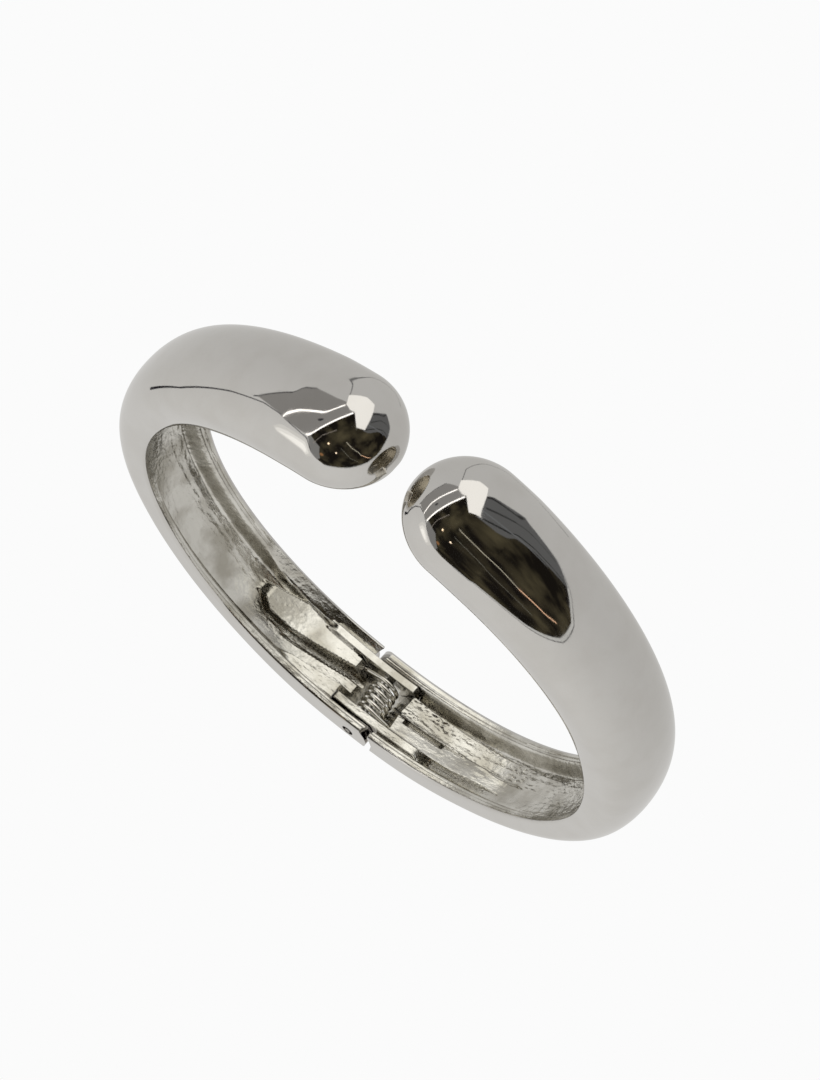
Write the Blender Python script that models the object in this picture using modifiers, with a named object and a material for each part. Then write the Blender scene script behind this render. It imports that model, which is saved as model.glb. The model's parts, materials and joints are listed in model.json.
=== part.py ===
"""Hinged bangle bracelet, lying flat: two cast arms, a hinge pin and a torsion spring.

Metres, +Z up.  The ring's axis is Z, the hinge is at the back (+Y) and the gap at the front (-Y).
Sizes below are in millimetres and become metres when a mesh is made.
"""
from math import ceil, cos, hypot, pi, radians, sin

import bpy
import bmesh
from mathutils import Matrix, Vector

MM = 0.001

# Wrist opening: an oval measured to the arms' inner faces, wider than it is deep.
WRIST_HALF_WIDTH = 27.9
WRIST_BACK = 27.3
WRIST_FRONT = 26.5
OVAL_POWER = 2.08
# The oval's centre lies this far behind the middle of the whole bracelet, and above its lowest point.
WRIST_CENTRE_Y = 0.61
LYING_HEIGHT = 6.0

# An arm's section, hinge to tip: fraction of the arm's run, radial thickness, half width, half width
# of the inner face, height of the flank as a share of the thickness, and how square the back is.
STATIONS = (
    (0.05, 4.3, 4.85, 4.85, 0.65, 2.9),
    (0.18, 4.4, 4.80, 4.80, 0.50, 2.3),
    (0.36, 4.8, 4.70, 4.65, 0.44, 2.1),
    (0.55, 5.4, 5.10, 4.60, 0.44, 2.1),
    (0.74, 6.2, 5.55, 4.40, 0.44, 2.1),
    (0.90, 6.9, 6.00, 4.05, 0.44, 2.1),
)
TIP_ANGLE = 178.2
TIP_ROUNDING = 11.7
TIP_FOCUS = 0.33
RUN_STEPS = 44
ROUND_STEPS = 6
FLANK_STEPS = 2
BACK_STEPS = 7

# Hinge, seen along its pin.  Each arm has one outer and one inner lug; heights are measured from the middle.
PIN_DEPTH = 2.05
PIN_RADIUS = 0.55
PIN_CLEARANCE = 0.2
PIN_HALF_LENGTH = 4.75
PIN_DOME = 0.12
# Radius of the dome's crown, as a share of the pin's.
PIN_CROWN = 0.6
PIN_SIDES = 24
OUTER_LUG_RADIUS = 2.5
OUTER_ROOM_RADIUS = 3.3
OUTER_LUG_FROM = 3.7
INNER_LUG_RADIUS = 3.8
INNER_LUG_FROM = 2.5
INNER_LUG_TO = 3.4
LUG_GAP = 0.3
# The spring's pocket narrows from the wrist outwards.
POCKET_AT_WRIST = 3.9
POCKET_AT_BACK = 1.1
HINGE_REACH = 8.0
HINGE_START_ANGLE = -8.5
ARC_STEPS = 14
# How far cutters reach past the metal, and into each other.
BEYOND = 8.0
OVERLAP = 0.1
RAISE = 1.5
SHARP_ANGLE = 35.0

# Torsion spring around the pin, with one straight leg into each arm.
WIRE_RADIUS = 0.28
COIL_RADIUS = 1.62
COIL_HALF_LENGTH = 1.93
COIL_TURNS = 5
POINTS_PER_TURN = 14
LEG_STEPS = 3
LEG_SLOPE = 20.0
LEG_END = 5.6
LEG_HOLE_RADIUS = 0.58
LEG_HOLE_END = 6.4
LEG_HOLE_SIDES = 12
BEVEL_RESOLUTION = 2

# Open back of each arm: depth below the inner face, along the arm (distance from the hinge plane).
CHANNEL_HALF_WIDTH = 4.0
CHANNEL_DEPTH = 2.0
CHANNEL_START = 11.0
CHANNEL_END_ANGLE = 150.0
CHANNEL_DRAFT = 0.4
CHANNEL_STEPS = 26
PAD_STOPS = (2.6, 5.0, 7.0, 9.0)
PAD_END = 14.0

# Oval blind pocket in each rounded tip, its long side along Z, with a shallow notch towards the wrist.
SOCKET_HALF_LENGTH = 1.9
SOCKET_DEPTH = 1.35
SOCKET_TAPER = 0.86
SOCKET_SIDES = 24
NOTCH_SHIFT = 0.72
NOTCH_HALF_WIDTH = 0.52
NOTCH_LENGTH = 3.8
NOTCH_DEPTH = 0.42
CUTTER_HEIGHT = 3.0

# Each arm's two shallow floors beside the hinge, as (lower edge, upper edge, depth).
RIGHT_PAD = (-2.45, 3.3, 0.5)
RIGHT_RECESS = (-1.0, 2.1, 2.5)
LEFT_PAD = (-2.1, 3.3, 1.1)
LEFT_RECESS = (-0.14, 2.9, 0.5)
# Each arm's tip socket, as mouth, outward direction, half width and the side of its notch.
RIGHT_SOCKET = (Vector((1.81, -30.63, 1.09)), Vector((-0.80, -0.59, 0.14)), 0.82, 1)
LEFT_SOCKET = (Vector((2.38, -31.14, -1.56)), Vector((-0.67, -0.71, -0.20)), 0.92, -1)

# Metals, as (colour, roughness).
NICKEL = ((0.62, 0.60, 0.57), 0.06)
STEEL = ((0.58, 0.57, 0.56), 0.15)
WIRE = ((0.55, 0.53, 0.50), 0.2)


def ramp(values, share):
    """Smooth value of a column of STATIONS at a share of the arm's run."""
    share = min(max(share, STATIONS[0][0]), STATIONS[-1][0])
    places = [station[0] for station in STATIONS]
    slopes = [(b - a) / (q - p) for a, b, p, q in zip(values, values[1:], places, places[1:])]
    inner = [(a + b) / 2 if a * b > 0 else 0.0 for a, b in zip(slopes, slopes[1:])]
    tangents = [0.0] + inner + [slopes[-1]]
    i = max(k for k in range(len(slopes)) if places[k] <= share)
    span = places[i + 1] - places[i]
    t = (share - places[i]) / span
    low = values[i] * (1 + 2 * t) * (1 - t) ** 2 + values[i + 1] * t * t * (3 - 2 * t)
    return low + span * (tangents[i] * t * (1 - t) ** 2 - tangents[i + 1] * t * t * (1 - t))


def section_sizes(angle):
    """Thickness, half width, inner half width, flank share and squareness at an angle from the hinge."""
    share = radians(angle) / radians(TIP_ANGLE)
    return [ramp([station[k] for station in STATIONS], share) for k in range(1, 6)]


def oval_point(angle):
    """A point of the wrist oval and its outward direction, at an angle from the hinge towards +X."""
    across = sin(radians(angle))
    along = cos(radians(angle))
    depth = WRIST_BACK if along > 0 else WRIST_FRONT
    x = WRIST_HALF_WIDTH * abs(across) ** (2 / OVAL_POWER) * (1 if across > 0 else -1)
    y = depth * abs(along) ** (2 / OVAL_POWER) * (1 if along > 0 else -1)
    push_x = abs(x / WRIST_HALF_WIDTH) ** (OVAL_POWER - 1) / WRIST_HALF_WIDTH * (1 if x > 0 else -1)
    push_y = abs(y / depth) ** (OVAL_POWER - 1) / depth * (1 if y > 0 else -1)
    length = hypot(push_x, push_y)
    return Vector((x, y, 0)), Vector((push_x / length, push_y / length, 0))


def angle_at(distance):
    """Angle of the oval's point at a distance from the hinge plane, on the back half."""
    share = min(distance / WRIST_HALF_WIDTH, 1.0)
    across = share ** (OVAL_POWER / 2)
    low, high = 0.0, 90.0
    for _ in range(40):
        middle = (low + high) / 2
        if sin(radians(middle)) < across:
            low = middle
        else:
            high = middle
    return low


def arm_section(angle):
    """Closed outline of an arm as (depth, height) pairs: up one flank, over the back, down the other."""
    thickness, half_width, inner_half, flank, power = section_sizes(angle)
    side = []
    for k in range(FLANK_STEPS + 1):
        turn = pi / 2 * k / FLANK_STEPS
        height = inner_half + (half_width - inner_half) * sin(turn)
        side.append((flank * thickness * (1 - cos(turn)), height))
    for k in range(1, BACK_STEPS + 1):
        turn = pi / 2 * k / BACK_STEPS
        depth = flank * thickness + (1 - flank) * thickness * sin(turn) ** (2 / power)
        side.append((depth, half_width * max(cos(turn), 0.0) ** (2 / power)))
    side[-1] = (thickness, 0.0)
    return side + [(depth, -height) for depth, height in reversed(side[:-1])]


def new_object(name, bm, collection, material=None):
    """Object from a bmesh in millimetres, smooth where the surface is round."""
    bmesh.ops.recalc_face_normals(bm, faces=bm.faces)
    bmesh.ops.scale(bm, vec=(MM, MM, MM), verts=bm.verts)
    mesh = bpy.data.meshes.new(name)
    bm.to_mesh(mesh)
    bm.free()
    obj = bpy.data.objects.new(name, mesh)
    collection.objects.link(obj)
    if material:
        mesh.materials.append(material)
        mesh.shade_smooth()
        mesh.set_sharp_from_angle(angle=radians(SHARP_ANGLE))
    return obj


def bridge(bm, rings):
    """Quads between neighbouring closed rings of vertices."""
    for first, second in zip(rings, rings[1:]):
        count = len(first)
        for k in range(count):
            bm.faces.new((first[k], first[(k + 1) % count], second[(k + 1) % count], second[k]))


def arm_blank(bm):
    """The uncut arm: a loft of the changing section round the oval, closed by a rounded tip."""
    last = TIP_ANGLE - TIP_ROUNDING
    angles = [HINGE_START_ANGLE + (last - HINGE_START_ANGLE) * k / RUN_STEPS for k in range(RUN_STEPS)]
    stops = [(angle, 1.0) for angle in angles]
    for k in range(ROUND_STEPS):
        turn = pi / 2 * k / ROUND_STEPS
        stops.append((last + TIP_ROUNDING * sin(turn), cos(turn)))
    rings = []
    for angle, size in stops:
        foot, outward = oval_point(angle)
        outline = arm_section(angle)
        focus = TIP_FOCUS * section_sizes(angle)[0]
        points = [foot + outward * (focus + (depth - focus) * size) + Vector((0, 0, height * size))
                  for depth, height in outline]
        rings.append([bm.verts.new(point) for point in points])
    bridge(bm, rings)
    bm.faces.new(list(reversed(rings[0])))
    foot, outward = oval_point(TIP_ANGLE)
    pole = bm.verts.new(foot + outward * TIP_FOCUS * section_sizes(TIP_ANGLE)[0])
    ring = rings[-1]
    for k in range(len(ring)):
        bm.faces.new((ring[k], ring[(k + 1) % len(ring)], pole))


def prism(bm, outline, bottom, top):
    """Upright prism over an outline of (x, y) points."""
    low = [bm.verts.new((x, y, bottom)) for x, y in outline]
    high = [bm.verts.new((x, y, top)) for x, y in outline]
    bridge(bm, [low, high])
    bm.faces.new(list(reversed(low)))
    bm.faces.new(high)


def hinge_arc(radius, side):
    """Half circle about the pin, from the back of the ring to the wrist, bulging to one side."""
    turns = [pi * k / ARC_STEPS for k in range(ARC_STEPS + 1)]
    return [(side * radius * sin(turn), WRIST_BACK + PIN_DEPTH + radius * cos(turn)) for turn in turns]


def hinge_room(arc):
    """Outline of everything on the -X side of the hinge plane, with an arc for its edge on that plane."""
    near = WRIST_BACK - HINGE_REACH
    far = WRIST_BACK + HINGE_REACH + PIN_DEPTH
    return arc + [(0, near), (-HINGE_REACH, near), (-HINGE_REACH, far), (0, far)]


def hinge_cutters(arm, cutters):
    """Cuts that leave an arm an outer lug (top), an inner lug (below) and room for the other arm's."""
    inner_slot = INNER_LUG_FROM - LUG_GAP
    near = WRIST_BACK - HINGE_REACH
    far = WRIST_BACK + HINGE_REACH
    spread = (POCKET_AT_WRIST - POCKET_AT_BACK) / STATIONS[0][1] * HINGE_REACH
    pocket = [(POCKET_AT_WRIST + spread, near), (POCKET_AT_WRIST - spread, far)]
    pocket += [(-HINGE_REACH, far), (-HINGE_REACH, near)]
    inner_room = hinge_room(hinge_arc(INNER_LUG_RADIUS + LUG_GAP, 1))
    outer_room = hinge_room(hinge_arc(OUTER_ROOM_RADIUS, 1))
    inner_end = hinge_room(hinge_arc(INNER_LUG_RADIUS, -1))
    outer_end = hinge_room(hinge_arc(OUTER_LUG_RADIUS, -1))
    cuts = (
        ("other_inner_lug", inner_room, inner_slot, OUTER_LUG_FROM),
        ("spring_pocket", pocket, -INNER_LUG_FROM, inner_slot + OVERLAP),
        ("other_outer_lug", outer_room, -BEYOND, -INNER_LUG_TO),
        ("outer_lug_end", outer_end, OUTER_LUG_FROM - OVERLAP, BEYOND),
        ("inner_lug_end", inner_end, -INNER_LUG_TO - OVERLAP, -INNER_LUG_FROM + OVERLAP),
    )
    for name, outline, bottom, top in cuts:
        bm = bmesh.new()
        prism(bm, outline, bottom, top)
        subtract(arm, new_object(arm.name + "_" + name, bm, cutters))


def rod(bm, start, direction, length, radius, sides):
    """Round rod from a start point along a direction."""
    turn = Vector((0, 0, 1)).rotation_difference(direction).to_matrix().to_4x4()
    middle = Matrix.Translation(start + direction * length / 2)
    bmesh.ops.create_cone(
        bm, cap_ends=True, segments=sides, radius1=radius, radius2=radius, depth=length, matrix=middle @ turn
    )


def channel_cutter(stops, low, high):
    """Loft that follows the inner face: (angle, depth) stops between two heights, with drafted sides."""
    bm = bmesh.new()
    rings = []
    for angle, depth in stops:
        foot, outward = oval_point(angle)
        draft = CHANNEL_DRAFT * depth
        corners = [(-RAISE, low), (-RAISE, high), (0, high)]
        corners += [(depth, high - draft), (depth, low + draft), (0, low)]
        rings.append([bm.verts.new(foot + outward * d + Vector((0, 0, z))) for d, z in corners])
    bridge(bm, rings)
    bm.faces.new(list(reversed(rings[0])))
    bm.faces.new(rings[-1])
    return bm


def open_back(arm, cutters, pad, recess):
    """The arm's open back, and next to the hinge the two shallower floors that hold the spring's leg."""
    first = angle_at(CHANNEL_START)
    angles = [first + (CHANNEL_END_ANGLE - first) * k / CHANNEL_STEPS for k in range(CHANNEL_STEPS + 1)]
    run = [(angle, CHANNEL_DEPTH) for angle in angles]
    bm = channel_cutter(run, -CHANNEL_HALF_WIDTH, CHANNEL_HALF_WIDTH)
    subtract(arm, new_object(arm.name + "_channel", bm, cutters))
    for name, (low, high, depth) in (("pad", pad), ("recess", recess)):
        stops = [(angle_at(x), depth) for x in PAD_STOPS]
        stops += [(angle_at((PAD_STOPS[-1] + PAD_END) / 2), (depth + CHANNEL_DEPTH) / 2)]
        stops += [(angle_at(PAD_END), CHANNEL_DEPTH - OVERLAP / 2)]
        bm = channel_cutter(stops, low, high)
        subtract(arm, new_object(arm.name + "_" + name, bm, cutters))


def subtract(obj, cutter):
    """Boolean difference, kept as a modifier."""
    cutter.hide_render = True
    cutter.display_type = "WIRE"
    cut = obj.modifiers.new(cutter.name, "BOOLEAN")
    cut.operation = "DIFFERENCE"
    cut.solver = "EXACT"
    cut.object = cutter


def leg_line():
    """Start and direction of the spring's leg in the +X arm, a tangent of the coil."""
    slope = radians(LEG_SLOPE)
    middle = Vector((0, WRIST_BACK + PIN_DEPTH, -COIL_HALF_LENGTH))
    start = middle + COIL_RADIUS * Vector((sin(slope), -cos(slope), 0))
    return start, Vector((cos(slope), sin(slope), 0))


def turned(bm, verts, middle, axes, sizes):
    """Stretches, turns and moves vertices made round the origin."""
    bmesh.ops.scale(bm, vec=sizes, verts=verts)
    matrix = Matrix.Translation(middle) @ Matrix(axes).transposed().to_4x4()
    bmesh.ops.transform(bm, matrix=matrix, verts=verts)


def socket_cutters(arm, cutters, mouth, normal, half_width, notch_side):
    """The oval pocket square to the tip's surface, and the notch from it towards the wrist."""
    normal = normal.normalized()
    along = (Vector((0, 0, 1)) - normal * normal.z).normalized()
    wrist = normal.cross(along)
    if wrist.y < 0:
        wrist = -wrist
    bm = bmesh.new()
    verts = bmesh.ops.create_cone(
        bm, cap_ends=True, segments=SOCKET_SIDES, radius1=SOCKET_TAPER, radius2=1, depth=1
    )["verts"]
    length = SOCKET_DEPTH + CUTTER_HEIGHT
    middle = mouth + normal * (length / 2 - SOCKET_DEPTH)
    sizes = (SOCKET_HALF_LENGTH, half_width, length)
    turned(bm, verts, middle, (along, normal.cross(along), normal), sizes)
    subtract(arm, new_object(arm.name + "_socket", bm, cutters))
    bm = bmesh.new()
    verts = bmesh.ops.create_cube(bm, size=1)["verts"]
    middle = mouth + along * NOTCH_SHIFT * notch_side + wrist * NOTCH_LENGTH / 2
    middle += normal * (CUTTER_HEIGHT / 2 - NOTCH_DEPTH)
    sizes = (2 * NOTCH_HALF_WIDTH, NOTCH_LENGTH, CUTTER_HEIGHT)
    turned(bm, verts, middle, (along, wrist, along.cross(wrist)), sizes)
    subtract(arm, new_object(arm.name + "_notch", bm, cutters))


def make_arm(name, collection, cutters, material, pad, recess, socket):
    """One casting, made as the arm on the +X side."""
    bm = bmesh.new()
    arm_blank(bm)
    arm = new_object(name, bm, collection, material)
    hinge_cutters(arm, cutters)
    open_back(arm, cutters, pad, recess)
    bm = bmesh.new()
    foot = Vector((0, WRIST_BACK + PIN_DEPTH, -BEYOND))
    rod(bm, foot, Vector((0, 0, 1)), 2 * BEYOND, PIN_RADIUS + PIN_CLEARANCE, PIN_SIDES)
    subtract(arm, new_object(name + "_pin_bore", bm, cutters))
    start, direction = leg_line()
    bm = bmesh.new()
    length = (LEG_HOLE_END - start.x) / direction.x
    rod(bm, start, direction, length, LEG_HOLE_RADIUS, LEG_HOLE_SIDES)
    subtract(arm, new_object(name + "_leg_hole", bm, cutters))
    socket_cutters(arm, cutters, *socket)
    return arm


def make_pin(collection, material):
    """Hinge pin: a turned rod with slightly domed, staked ends."""
    bm = bmesh.new()
    heights = [(PIN_HALF_LENGTH, 0.0), (PIN_HALF_LENGTH - PIN_DOME / 3, PIN_RADIUS * PIN_CROWN)]
    heights += [(PIN_HALF_LENGTH - PIN_DOME, PIN_RADIUS)]
    profile = heights + [(-z, r) for z, r in reversed(heights)]
    verts = [bm.verts.new((radius, 0, z)) for z, radius in profile]
    for a, b in zip(verts, verts[1:]):
        bm.edges.new((a, b))
    pin = new_object("hinge_pin", bm, collection, material)
    turn = pin.modifiers.new("turned", "SCREW")
    turn.axis = "Z"
    turn.angle = 2 * pi
    turn.steps = PIN_SIDES
    turn.render_steps = PIN_SIDES
    turn.use_merge_vertices = True
    turn.merge_threshold = 0.00001
    return pin


def make_spring(collection, material):
    """Torsion spring: a close coil about the pin with a straight leg at each end, one closed wire."""
    slope = radians(LEG_SLOPE)
    first = -pi / 2 - slope
    sweep = 2 * slope + 2 * pi * COIL_TURNS
    count = ceil(sweep / (2 * pi) * POINTS_PER_TURN)
    coil = []
    for k in range(count + 1):
        turn = first + sweep * k / count
        height = COIL_HALF_LENGTH * (1 - 2 * k / count)
        coil.append(Vector((COIL_RADIUS * cos(turn), COIL_RADIUS * sin(turn), height)))
    reach = Vector((cos(slope), sin(slope), 0))
    length = (LEG_END - COIL_RADIUS * sin(slope)) / cos(slope)
    right_leg = [coil[-1] + reach * length * k / LEG_STEPS for k in range(1, LEG_STEPS + 1)]
    left_leg = [Vector((-point.x, point.y, -point.z)) for point in reversed(right_leg)]
    route = left_leg + coil + right_leg
    curve = bpy.data.curves.new("hinge_spring", "CURVE")
    curve.dimensions = "3D"
    curve.bevel_depth = WIRE_RADIUS * MM
    curve.bevel_resolution = BEVEL_RESOLUTION
    curve.use_fill_caps = True
    spline = curve.splines.new("POLY")
    spline.points.add(len(route) - 1)
    for point, place in zip(spline.points, route):
        point.co = (place.x * MM, place.y * MM, place.z * MM, 1)
    spring = bpy.data.objects.new("hinge_spring", curve)
    collection.objects.link(spring)
    curve.materials.append(material)
    return spring


def plated(name, colour, roughness):
    """Bright plated metal."""
    material = bpy.data.materials.new(name)
    material.use_nodes = True
    shader = material.node_tree.nodes["Principled BSDF"]
    shader.inputs["Base Color"].default_value = (*colour, 1)
    shader.inputs["Metallic"].default_value = 1.0
    shader.inputs["Roughness"].default_value = roughness
    return material


def new_collection(name):
    collection = bpy.data.collections.new(name)
    bpy.context.scene.collection.children.link(collection)
    return collection


def main():
    for obj in list(bpy.data.objects):
        bpy.data.objects.remove(obj, do_unlink=True)
    bangle = new_collection("bangle_bracelet")
    cutters = new_collection("cutters")
    nickel = plated("bright_nickel_plate", *NICKEL)
    steel = plated("polished_pin_steel", *STEEL)
    wire = plated("spring_wire", *WIRE)

    ring = bpy.data.objects.new("ring_centre", None)
    ring.location = (0, WRIST_CENTRE_Y * MM, LYING_HEIGHT * MM)
    hinge = bpy.data.objects.new("hinge_axis", None)
    hinge.location = (0, (WRIST_BACK + PIN_DEPTH) * MM, 0)
    hinge.parent = ring
    for empty in (ring, hinge):
        bangle.objects.link(empty)

    to_hinge = Matrix.Translation((0, -(WRIST_BACK + PIN_DEPTH) * MM, 0))
    flip = Matrix.Rotation(pi, 4, "Y")
    right = make_arm("right_arm", bangle, cutters, nickel, RIGHT_PAD, RIGHT_RECESS, RIGHT_SOCKET)
    left = make_arm("left_arm", bangle, cutters, nickel, LEFT_PAD, LEFT_RECESS, LEFT_SOCKET)
    for obj in list(cutters.objects) + [right, left]:
        turn = flip if obj.name.startswith("left") else Matrix.Identity(4)
        obj.data.transform(to_hinge @ turn)
        obj.parent = hinge
    for obj in (make_pin(bangle, steel), make_spring(bangle, wire)):
        obj.parent = hinge


main()
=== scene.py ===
"""Looks of the hinged bangle bracelet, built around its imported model.

Each arm is a fine mesh of its casting, mirror bright outside and hollow and as cast on its inner side.  Lengths are
in millimetres, measured from the middle of the wrist oval: +X to the right arm, +Y to the hinge, +Z along the ring's
axis.  "Run" is the distance along an arm's inner face from the hinge, "height" is Z, and "depth" goes outwards from
the inner face.
"""
import json
from math import cos, pi, radians, sin

import bpy
import bmesh
import numpy as np
from mathutils import Matrix, Quaternion, Vector, noise

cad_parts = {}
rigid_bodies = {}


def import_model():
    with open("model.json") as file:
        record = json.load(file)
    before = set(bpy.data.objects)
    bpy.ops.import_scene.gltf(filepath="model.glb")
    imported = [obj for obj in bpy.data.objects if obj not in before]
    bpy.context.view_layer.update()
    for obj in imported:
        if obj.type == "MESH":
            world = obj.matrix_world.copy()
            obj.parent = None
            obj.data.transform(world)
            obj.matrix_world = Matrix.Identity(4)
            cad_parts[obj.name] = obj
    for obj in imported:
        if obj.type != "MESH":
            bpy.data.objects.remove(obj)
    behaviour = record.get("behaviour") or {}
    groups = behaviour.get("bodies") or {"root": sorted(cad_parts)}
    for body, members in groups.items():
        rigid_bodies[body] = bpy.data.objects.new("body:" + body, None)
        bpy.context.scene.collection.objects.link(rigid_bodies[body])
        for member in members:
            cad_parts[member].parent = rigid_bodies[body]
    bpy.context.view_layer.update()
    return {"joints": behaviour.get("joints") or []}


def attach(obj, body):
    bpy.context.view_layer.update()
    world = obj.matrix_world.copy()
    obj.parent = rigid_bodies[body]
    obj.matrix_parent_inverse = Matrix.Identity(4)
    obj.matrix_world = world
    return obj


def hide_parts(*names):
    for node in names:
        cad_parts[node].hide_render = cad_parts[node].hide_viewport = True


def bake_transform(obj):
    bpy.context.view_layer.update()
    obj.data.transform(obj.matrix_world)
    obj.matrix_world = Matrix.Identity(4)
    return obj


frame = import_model()

MM = 0.001
HINGE = Vector(frame["joints"][0]["pos_m"])

# The ring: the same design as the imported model.  A station is its share of the way from hinge to tip, then the arm's
# thickness, half height, half height of its inner face, the share of the thickness in its flank, and the power of the
# curve across its back.
WRIST_HALF_WIDTH = 27.9
WRIST_BACK = 27.3
WRIST_FRONT = 26.5
OVAL_POWER = 2.08
STATIONS = (
    (0.05, 4.3, 4.85, 4.85, 0.65, 2.9),
    (0.18, 4.4, 4.80, 4.80, 0.50, 2.3),
    (0.36, 4.8, 4.70, 4.65, 0.44, 2.1),
    (0.55, 5.4, 5.10, 4.60, 0.44, 2.1),
    (0.74, 6.2, 5.55, 4.40, 0.44, 2.1),
    (0.90, 6.9, 6.00, 4.05, 0.44, 2.1),
)
TIP_ANGLE = 178.2
TIP_ROUNDING = 11.7
TIP_FOCUS = 0.33
HINGE_START_ANGLE = -8.5
PIN_DEPTH = 2.05

RING_CENTRE = HINGE - Vector((0, WRIST_BACK + PIN_DEPTH, 0)) * MM


def add_object(name, data):
    obj = bpy.data.objects.new(name, data)
    bpy.context.scene.collection.objects.link(obj)
    return obj


def smooth(low, high, value):
    """0 below low, 1 above high, and a smooth step between."""
    t = np.clip((value - low) / (high - low), 0, 1)
    return t * t * (3 - 2 * t)


def ramp(column, share):
    """A column of STATIONS at shares of the way to the tip, joined by a smooth curve that never overshoots."""
    places = np.array([station[0] for station in STATIONS])
    values = np.array([station[column] for station in STATIONS])
    share = np.clip(share, places[0], places[-1])
    slopes = np.diff(values) / np.diff(places)
    inner = np.where(slopes[:-1] * slopes[1:] > 0, (slopes[:-1] + slopes[1:]) / 2, 0)
    tangents = np.concatenate([[0], inner, [slopes[-1]]])
    i = np.clip(np.searchsorted(places, share, side="right") - 1, 0, len(slopes) - 1)
    span = places[i + 1] - places[i]
    t = (share - places[i]) / span
    low = values[i] * (1 + 2 * t) * (1 - t) ** 2 + values[i + 1] * t * t * (3 - 2 * t)
    return low + span * (tangents[i] * t * (1 - t) ** 2 - tangents[i + 1] * t * t * (1 - t))


def oval(angle):
    """Points of the wrist oval and their outward directions, at angles from the hinge towards +X."""
    across, along = np.sin(np.radians(angle)), np.cos(np.radians(angle))
    depth = np.where(along > 0, WRIST_BACK, WRIST_FRONT)
    x = WRIST_HALF_WIDTH * np.sign(across) * np.abs(across) ** (2 / OVAL_POWER)
    y = depth * np.sign(along) * np.abs(along) ** (2 / OVAL_POWER)
    push_x = np.sign(x) * np.abs(x / WRIST_HALF_WIDTH) ** (OVAL_POWER - 1) / WRIST_HALF_WIDTH
    push_y = np.sign(y) * np.abs(y / depth) ** (OVAL_POWER - 1) / depth
    length = np.hypot(push_x, push_y)
    return np.stack([x, y], 1), np.stack([push_x / length, push_y / length], 1)


# ---------------------------------------------------------------- the castings

# Rows along the arm: close together near the hinge, wider apart after it.
FINE_END_ANGLE = 46.0
FINE_STEPS = 260
RUN_STEPS = 285
ROUND_STEPS = 40
# The skin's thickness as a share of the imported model's, whose facets cut a little inside the true curve.
SKIN_SHARE = 0.993
# Radius of the rounded edge between the inner face and the flank.
LIP = 0.32
LIP_STEPS = 5
FLANK_STEPS = 10
BACK_STEPS = 26
INNER_STEPS = 50
# The hollow in the inner side, which loses some depth and height towards the tip, with a ledge along its rim.
CHANNEL_HALF = 4.05
CHANNEL_DEPTH = 2.1
DEPTH_LOSS = 0.35
HALF_LOSS = 0.45
FLOOR_DROP = 0.12
FLOOR_HOLLOW = 0.05
CHANNEL_END_ANGLE = 150.0
CAST_END_ANGLE = CHANNEL_END_ANGLE + 6
LEDGE_WIDTH = 0.22
LEDGE_DEPTH = 0.16
# Edges of the raised floors next to the spring, as (run, height).
RIGHT_PLATEAU_LOW = ((2.6, -2.1), (11.7, -2.9), (16.5, -1.4))
RIGHT_PLATEAU_HIGH = ((3.8, -1.0), (11.6, 0.55), (14.6, 0.7), (16.5, -0.4))
RIGHT_WEDGE_LOW = ((2.6, 1.45), (9.6, 2.6), (12.0, 3.4))
LEFT_RAMP_LOW = ((3.5, -2.35), (12, -2.35), (16, -1.9))
# Layers of noise in the cast skin: frequency along and across, offset of the seed, and weight.
FLOW_MARKS = ((0.30, 2.1, 0, 0.030), (0.75, 5.0, 9, 0.012))
GRAIN_PATCHES = ((0.22, 0.5, 20, 1),)
GRAINS = ((2.4, 3.4, 30, 1), (5.0, 6.5, 40, 0.5))
GRAIN_HEIGHT = 0.022
NEAR_GRAIN_HEIGHT = 0.044
# Faces that meet at more than this many degrees keep a crisp edge.
ARM_SHARP_ANGLE = 38
TUBE_SHARP_ANGLE = 50
# Material slots of an arm.
POLISHED, CAST, BORED = range(3)

# The hinge, seen along its pin, and each arm's share of it.
PIN_RADIUS = 0.46
BORE_RADIUS = 0.7
PIN_HALF_LENGTH = 4.62
OUTER_LUG_RADIUS = 2.5
OUTER_ROOM_RADIUS = 3.3
INNER_LUG_RADIUS = 3.8
LUG_GAP = 0.14
OUTER_LUG_FROM = 3.55
INNER_LUG_FROM = 2.5
INNER_LUG_TO = 3.4
# Room for the coil: this far along X at the inner face and at the back.
POCKET_INNER = 3.9
POCKET_OUTER = 1.1
HINGE_REACH = 8.0
# Cutters run this far past both flanks.
CUT_END = 9
ARC_STEPS = 40
ROD_SIDES = 64
PIN_CROWN = 0.34
PIN_CROWN_STEPS = 12
PIN_SIDES = 40

COIL_RADIUS = 1.5
COIL_HALF_LENGTH = 1.93
COIL_TURNS = 5
COIL_LEAN = -0.17
COIL_SHIFT = -0.4
WIRE_RADIUS = 0.26
WIRE_GAP = 0.1
WIRE_SIDES = 16
STEPS_A_TURN = 56
LEG_SLOPE = 20.0
LEG_END = 5.6
LEG_ROOM = 0.4
LEG_STEPS = 16

# Oval pocket in each tip, long side along Z, with a notch towards the wrist.
SOCKET_HALF_LENGTH = 1.9
SOCKET_DEPTH = 1.35
SOCKET_TAPER = 0.86
SOCKET_SIDES = 72
CUTTER_RISE = 2
NOTCH_SHIFT = 0.72
NOTCH_HALF_WIDTH = 0.52
NOTCH_DEPTH = 0.42
NOTCH_LENGTH = 3.8
NOTCH_HEIGHT = 3


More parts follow.
